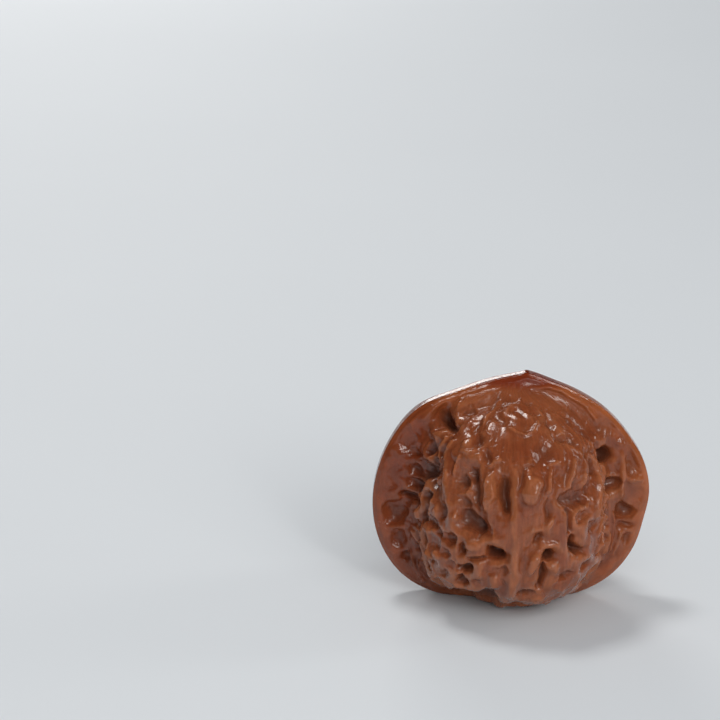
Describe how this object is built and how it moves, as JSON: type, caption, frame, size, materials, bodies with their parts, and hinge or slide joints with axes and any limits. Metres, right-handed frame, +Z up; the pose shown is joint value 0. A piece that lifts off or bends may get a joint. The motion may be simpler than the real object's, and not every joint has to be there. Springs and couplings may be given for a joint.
{
  "type": "wenwan walnut",
  "caption": "Hand-polished walnut in its shell: a round pitted belly with a wide flat flange along the seam, a low tip and a worn foot.",
  "frame": {"origin": "on the resting plane, below the middle of the bounding box", "axes": "+X across the flange in the seam plane, the widest way; +Y towards the back half of the shell; +Z up from the foot to the tip"},
  "size_m": [0.046, 0.039, 0.0388],
  "materials": {
    "shell": "polished by handling, glossy with a thin oil film"
  },
  "bodies": {
    "root": {"walnut": "shell"}
  },
  "joints": []
}
